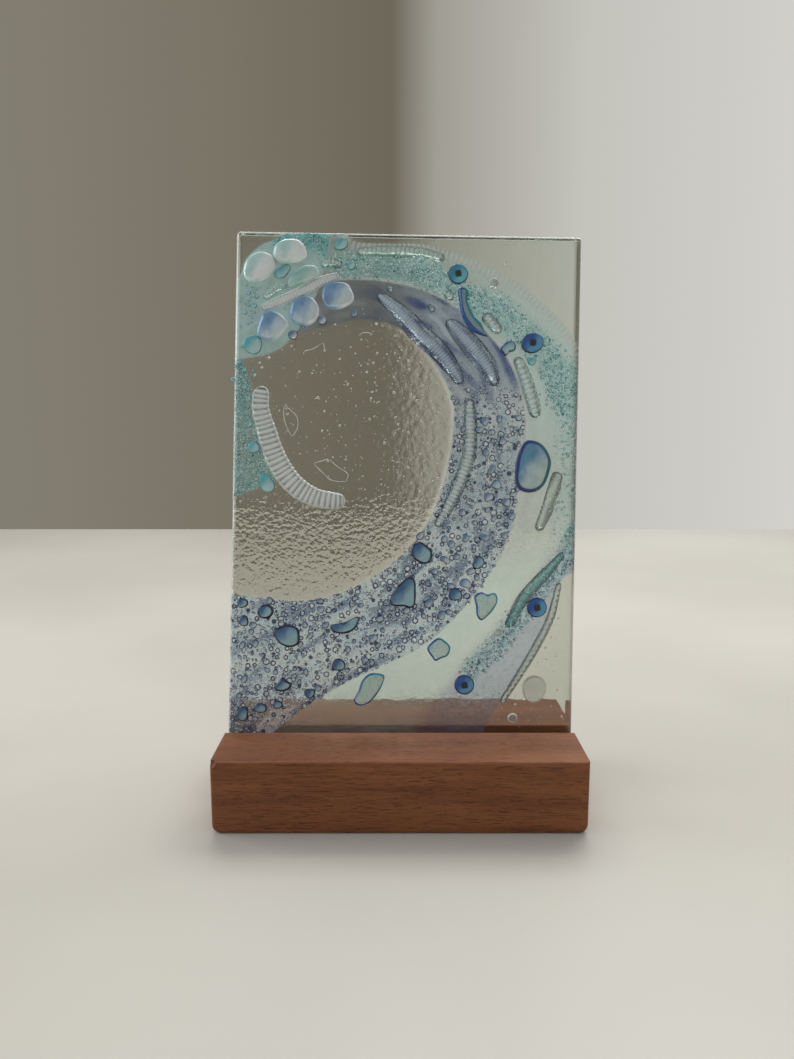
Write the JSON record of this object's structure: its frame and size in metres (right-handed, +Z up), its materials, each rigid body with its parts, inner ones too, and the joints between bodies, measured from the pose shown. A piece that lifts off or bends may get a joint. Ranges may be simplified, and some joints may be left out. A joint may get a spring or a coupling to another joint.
{
  "type": "glass wave sculpture",
  "caption": "Leaning fused-glass panel with a curling wave of ribbed bands, drops and nuggets, standing in a slotted hardwood block.",
  "frame": {"origin": "centre of the underside of the hardwood block", "axes": "+Z up, front of the panel towards -Y, +X to the right seen from the front"},
  "size_m": [0.1034, 0.049, 0.1639],
  "materials": {
    "hardwood": "reddish brown hardwood, oiled, satin, grain along the block",
    "clear_glass": "clear fused glass, glossy, pale green at the edge",
    "barrel_glass": "clear hammered glass with pale seeds",
    "teal_glass": "teal glass with a froth of small rings",
    "blue_glass": "blue glass crowded with bubbles, navy rims",
    "pale_glass": "pale green glass, glossy",
    "mist_glass": "pale blue-violet glass, glossy",
    "crest_glass": "blue-grey glass with white and teal frit",
    "white_glass": "milky white ribbed glass",
    "reeded_glass": "clear ribbed glass, glossy",
    "drop_glass": "blue glass drops with a dark rim",
    "teal_drop_glass": "teal glass drops with a dark rim",
    "core_glass": "near-black blue glass",
    "teal_frit": "crushed teal glass, fire-polished"
  },
  "bodies": {
    "stand": {"wood_stand": "hardwood"},
    "panel": {"base_sheet": "clear_glass", "corner_sheet_left": "clear_glass", "sky_sheet": "clear_glass", "corner_sheet_right": "clear_glass", "shoulder_rod": "clear_glass", "clear_beads": "clear_glass", "barrel_sheet": "barrel_glass", "teal_band": "teal_glass", "shoulder_band": "teal_glass", "teal_streak": "teal_glass", "blue_band": "blue_glass", "blue_field": "blue_glass", "pale_band": "pale_glass", "mist_band": "mist_glass", "crest_sheet": "crest_glass", "margin_sheet": "crest_glass", "blue_nuggets": "crest_glass", "green_nugget": "crest_glass", "crest_rib_left": "white_glass", "crest_rib_right": "white_glass", "crest_frost_strip": "white_glass", "ridge_rod_left": "white_glass", "ridge_rod_right": "white_glass", "foam_tail": "white_glass", "white_nuggets": "white_glass", "hem_rib_strip": "reeded_glass", "divider_rib_top": "reeded_glass", "divider_rib_middle": "reeded_glass", "divider_rib_lower": "reeded_glass", "inner_rib_rod": "reeded_glass", "lower_rib_strip": "reeded_glass", "blue_drops": "drop_glass", "small_blue_drops": "drop_glass", "royal_dots": "drop_glass", "blue_seeds": "drop_glass", "long_drop": "drop_glass", "teal_drops": "teal_drop_glass", "eye_dots": "teal_drop_glass", "tail_drop": "teal_drop_glass", "keyhole_drop": "teal_drop_glass", "teal_beads": "teal_drop_glass", "eye_cores": "core_glass", "crest_frit": "teal_frit", "margin_frit": "teal_frit", "hem_frit": "teal_frit", "band_frit": "teal_frit", "edge_frit": "teal_frit"}
  },
  "joints": [
    {"name": "panel_lift", "type": "slide", "parent": "stand", "child": "panel", "axis": [0, 0.1444, 0.9895], "range_m": [0, 0.02]}
  ]
}
